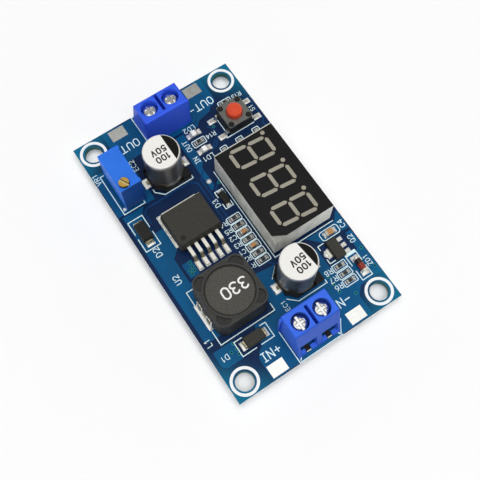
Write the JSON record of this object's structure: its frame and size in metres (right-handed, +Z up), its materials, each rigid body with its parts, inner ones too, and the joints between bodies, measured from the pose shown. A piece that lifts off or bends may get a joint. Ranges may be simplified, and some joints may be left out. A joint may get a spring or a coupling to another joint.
{
  "type": "boost converter module",
  "caption": "Blue circuit board with screw terminals at both ends, a multi-turn trimmer, shielded inductor, regulator and digit display, for raising a DC voltage.",
  "frame": {"origin": "centre of the four mounting holes, on the board's underside", "axes": "+X from the input terminals to the output terminals, +Y away from the display, +Z up through the board"},
  "size_m": [0.066, 0.04, 0.0142],
  "materials": {
    "board_mask": "blue lacquer over glass-fibre laminate",
    "tinned_pad": "tinned copper",
    "solder": "bright solder",
    "terminal_plastic": "satin moulded nylon",
    "contact_metal": "tinned brass",
    "screw_steel": "bright plated steel",
    "guard_bronze": "spring bronze",
    "trimmer_plastic": "satin moulded plastic",
    "trimmer_brass": "plated brass",
    "rotor_plastic": "natural nylon",
    "track_ceramic": "fired alumina",
    "lead_tin": "tin plating",
    "can_aluminium": "satin drawn aluminium",
    "base_moulding": "matt moulded plastic",
    "package_mould": "matt moulding compound",
    "tab_copper": "tinned copper",
    "ferrite": "matt sintered ferrite",
    "winding_copper": "lacquered copper wire",
    "shell_plastic": "pale moulded plastic",
    "face_film": "black printed film",
    "segment_resin": "milky resin",
    "carrier_laminate": "bare laminate",
    "cover_metal": "dull plated sheet",
    "plunger_plastic": "satin moulded plastic",
    "spring_steel": "rolled spring steel",
    "diode_glass": "tinted glass",
    "chip_ceramic": "white alumina",
    "coat_enamel": "dark enamel",
    "chip_dielectric": "tan fired ceramic",
    "lamp_resin": "clear milky resin"
  },
  "bodies": {
    "board": {"circuit_board": "board_mask", "tinned_pads": "tinned_pad", "solder_fillets": "solder", "input_terminal_housing": "terminal_plastic", "output_terminal_housing": "terminal_plastic", "input_terminal_contacts": "contact_metal", "output_terminal_contacts": "contact_metal", "trimmer_housing": "trimmer_plastic", "trimmer_element": "track_ceramic", "trimmer_pins": "lead_tin", "input_capacitor_leads": "lead_tin", "output_capacitor_leads": "lead_tin", "regulator_leads": "lead_tin", "inductor_clips": "lead_tin", "display_upper_pins": "lead_tin", "display_lower_pins": "lead_tin", "controller_leads": "lead_tin", "switch_legs": "lead_tin", "diode_leads": "lead_tin", "transistor_leads": "lead_tin", "glass_diode_caps": "lead_tin", "chip_end_caps": "lead_tin", "input_capacitor_can": "can_aluminium", "output_capacitor_can": "can_aluminium", "input_capacitor_base": "base_moulding", "output_capacitor_base": "base_moulding", "switch_base": "base_moulding", "regulator_body": "package_mould", "input_diode_body": "package_mould", "output_diode_body": "package_mould", "signal_diode_body": "package_mould", "transistor_body": "package_mould", "controller_body": "package_mould", "regulator_tab": "tab_copper", "inductor_shield": "ferrite", "inductor_drum": "ferrite", "inductor_winding": "winding_copper", "display_shell": "shell_plastic", "display_face": "face_film", "display_segments": "segment_resin", "display_circuit": "carrier_laminate", "switch_cover": "cover_metal", "switch_dome": "spring_steel", "glass_diode_tube": "diode_glass", "chip_resistors": "chip_ceramic", "lamp_bases": "chip_ceramic", "resistor_coats": "coat_enamel", "chip_capacitors": "chip_dielectric", "lamp_lenses": "lamp_resin"},
    "input_plus_screw": {"input_plus_screw": "screw_steel"},
    "input_minus_screw": {"input_minus_screw": "screw_steel"},
    "output_plus_screw": {"output_plus_screw": "screw_steel"},
    "output_minus_screw": {"output_minus_screw": "screw_steel"},
    "input_plus_guard": {"input_plus_guard": "guard_bronze"},
    "input_minus_guard": {"input_minus_guard": "guard_bronze"},
    "output_plus_guard": {"output_plus_guard": "guard_bronze"},
    "output_minus_guard": {"output_minus_guard": "guard_bronze"},
    "trimmer_screw": {"trimmer_screw": "trimmer_brass"},
    "trimmer_rotor": {"trimmer_rotor": "rotor_plastic"},
    "switch_plunger": {"switch_plunger": "plunger_plastic"}
  },
  "joints": [
    {"name": "input_plus_guard_slide", "type": "slide", "parent": "board", "child": "input_plus_guard", "axis": [0, 0, -1], "range_m": [0, 0.0023]},
    {"name": "input_plus_screw_turn", "type": "hinge", "parent": "input_plus_guard", "child": "input_plus_screw", "pos_m": [-0.02745, 0.00254, 0.0087], "axis": [0, 0, -1], "range_deg": [0, 1840.5]},
    {"name": "input_minus_guard_slide", "type": "slide", "parent": "board", "child": "input_minus_guard", "axis": [0, 0, -1], "range_m": [0, 0.0023]},
    {"name": "input_minus_screw_turn", "type": "hinge", "parent": "input_minus_guard", "child": "input_minus_screw", "pos_m": [-0.02745, -0.00254, 0.0087], "axis": [0, 0, -1], "range_deg": [0, 1840.5]},
    {"name": "output_plus_guard_slide", "type": "slide", "parent": "board", "child": "output_plus_guard", "axis": [0, 0, -1], "range_m": [0, 0.0023]},
    {"name": "output_plus_screw_turn", "type": "hinge", "parent": "output_plus_guard", "child": "output_plus_screw", "pos_m": [0.02745, 0.00254, 0.0087], "axis": [0, 0, -1], "range_deg": [0, 1840.5]},
    {"name": "output_minus_guard_slide", "type": "slide", "parent": "board", "child": "output_minus_guard", "axis": [0, 0, -1], "range_m": [0, 0.0023]},
    {"name": "output_minus_screw_turn", "type": "hinge", "parent": "output_minus_guard", "child": "output_minus_screw", "pos_m": [0.02745, -0.00254, 0.0087], "axis": [0, 0, -1], "range_deg": [0, 1840.5]},
    {"name": "trimmer_screw_turn", "type": "hinge", "parent": "board", "child": "trimmer_screw", "pos_m": [0.01558, 0.0157, 0.0116], "axis": [0, 0, 1], "range_deg": [-4500, 4500]},
    {"name": "trimmer_rotor_turn", "type": "hinge", "parent": "board", "child": "trimmer_rotor", "pos_m": [0.019, 0.0157, 0.0066], "axis": [0, 1, 0], "range_deg": [-151, 151]},
    {"name": "button_press", "type": "slide", "parent": "board", "child": "switch_plunger", "axis": [0, 0, -1], "range_m": [0, 0.00025], "stiffness_N_per_m": 6000}
  ],
  "couplings": [
    {"joint": "input_plus_screw_turn", "follows": "input_plus_guard_slide", "rad_per_m": 13963},
    {"joint": "input_minus_screw_turn", "follows": "input_minus_guard_slide", "rad_per_m": 13963},
    {"joint": "output_plus_screw_turn", "follows": "output_plus_guard_slide", "rad_per_m": 13963},
    {"joint": "output_minus_screw_turn", "follows": "output_minus_guard_slide", "rad_per_m": 13963},
    {"joint": "trimmer_rotor_turn", "follows": "trimmer_screw_turn", "ratio": 0.033333}
  ]
}
